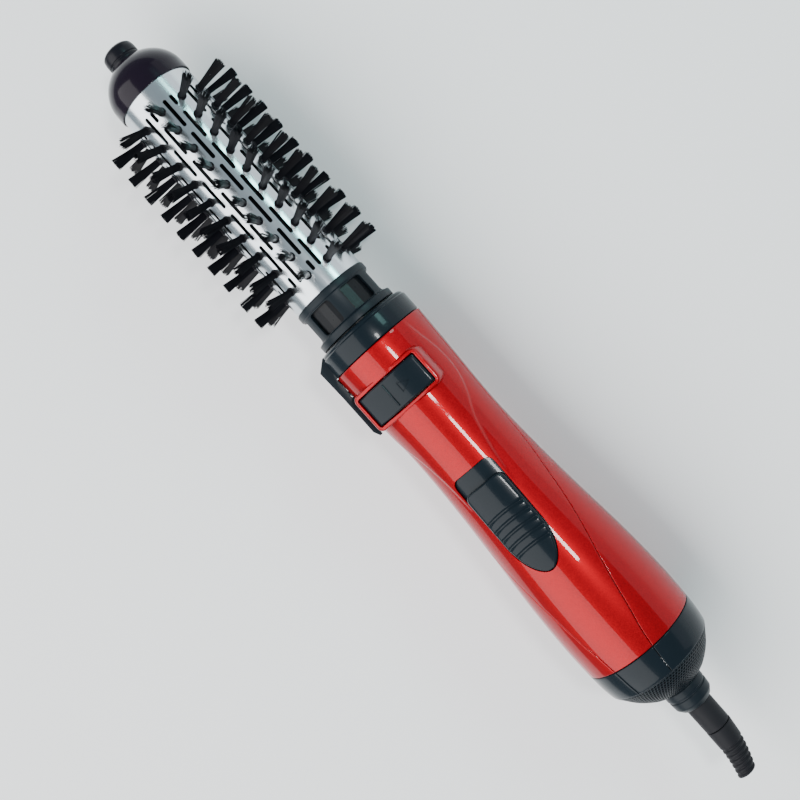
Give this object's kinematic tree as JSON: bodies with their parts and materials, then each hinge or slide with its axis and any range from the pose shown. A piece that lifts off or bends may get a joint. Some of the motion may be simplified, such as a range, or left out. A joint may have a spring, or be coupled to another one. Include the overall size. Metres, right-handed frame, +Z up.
{
  "type": "rotating hot-air hair-styling brush",
  "caption": "Hand-held hot-air styling brush: bristled rotating aluminium barrel with cool tip, red two-part handle with rocker, slide switch and release lever, grille and swivel cord guard.",
  "frame": {"origin": "on the surface the brush lies on, below the middle of its length", "axes": "+X along the tool towards the cool tip, +Z up through the buttons, +Y towards the release lever"},
  "size_m": [0.412, 0.0668, 0.0666],
  "materials": {
    "tip_black": "moulded black with a fine matt sheen",
    "gloss_black": "glossy black moulding",
    "matt_black": "fine textured black moulding",
    "soft_black": "flexible black moulding",
    "bristle": "black nylon filament",
    "barrel": "polished and clear anodised",
    "red_shell": "metallic candy red under clear lacquer",
    "screw_steel": "zinc plated",
    "gear_brass": "machined",
    "natural_nylon": "natural moulding",
    "mica": "brown mica sheet",
    "board": "green laminate",
    "filter_red": "open dark red mesh"
  },
  "bodies": {
    "handle": {"nose_ring": "gloss_black", "hub_bush": "gear_brass", "front_shell": "red_shell", "rear_shell": "red_shell", "housing_screw_1": "screw_steel", "housing_screw_2": "screw_steel", "rocker_pin": "screw_steel", "switch_plate": "matt_black", "lever_pin": "screw_steel", "lever_spring": "screw_steel", "air_tube": "barrel", "heater_frame": "mica", "heater_coil": "screw_steel", "thermal_cutout": "screw_steel", "circuit_board": "board", "slide_switch": "matt_black", "direction_switch": "matt_black", "gear_motor": "screw_steel", "fan_motor": "screw_steel", "motor_mount": "natural_nylon", "rear_cap_front": "gloss_black", "rear_cap_back": "gloss_black", "inlet_filter": "filter_red", "inlet_grille": "matt_black"},
    "drive_hub": {"drive_hub": "matt_black"},
    "barrel": {"barrel_tube": "barrel", "window_collar": "matt_black", "end_cap": "gloss_black", "bristle_strip_01": "bristle", "bristle_strip_02": "bristle", "bristle_strip_03": "bristle", "bristle_strip_04": "bristle", "bristle_strip_05": "bristle", "bristle_strip_06": "bristle", "bristle_strip_07": "bristle", "bristle_strip_08": "bristle", "bristle_strip_09": "bristle", "bristle_strip_10": "bristle"},
    "tip": {"cool_tip": "tip_black", "tip_screw": "screw_steel"},
    "pinion": {"drive_pinion": "gear_brass"},
    "fan": {"fan_impeller": "natural_nylon", "fan_shaft": "screw_steel"},
    "rocker": {"rocker_button": "gloss_black"},
    "knob": {"slide_knob": "gloss_black"},
    "lever": {"release_lever": "gloss_black"},
    "cord_swivel": {"swivel_collar": "matt_black", "strain_relief_neck": "soft_black", "cord_guard": "soft_black"}
  },
  "joints": [
    {"name": "head_spin", "type": "hinge", "parent": "handle", "child": "drive_hub", "pos_m": [0.041, 0, 0.0334], "axis": [1, 0, 0], "continuous": true},
    {"name": "barrel_pull", "type": "slide", "parent": "drive_hub", "child": "barrel", "axis": [1, 0, 0], "range_m": [0, 0.11]},
    {"name": "tip_spin", "type": "hinge", "parent": "barrel", "child": "tip", "pos_m": [0.202, 0, 0.0334], "axis": [1, 0, 0], "continuous": true},
    {"name": "pinion_spin", "type": "hinge", "parent": "handle", "child": "pinion", "pos_m": [0.0314, 0, 0.0178], "axis": [1, 0, 0], "continuous": true},
    {"name": "fan_spin", "type": "hinge", "parent": "handle", "child": "fan", "pos_m": [-0.121, 0, 0.0334], "axis": [1, 0, 0], "continuous": true},
    {"name": "rocker_tilt", "type": "hinge", "parent": "handle", "child": "rocker", "pos_m": [0.0166, 0, 0.0549], "axis": [1, 0, 0], "range_deg": [-4, 4], "stiffness_Nm_per_rad": 0.05},
    {"name": "switch_slide", "type": "slide", "parent": "handle", "child": "knob", "axis": [1, 0, 0], "range_m": [0, 0.0075]},
    {"name": "lever_press", "type": "hinge", "parent": "handle", "child": "lever", "pos_m": [0.028, 0.02091, 0.04101], "axis": [0, -0.342, 0.9397], "range_deg": [0, 3], "stiffness_Nm_per_rad": 0.4},
    {"name": "cord_swivel_spin", "type": "hinge", "parent": "handle", "child": "cord_swivel", "pos_m": [-0.164, 0, 0.0334], "axis": [1, 0, 0], "continuous": true}
  ],
  "couplings": [
    {"joint": "pinion_spin", "follows": "head_spin", "ratio": -3}
  ]
}
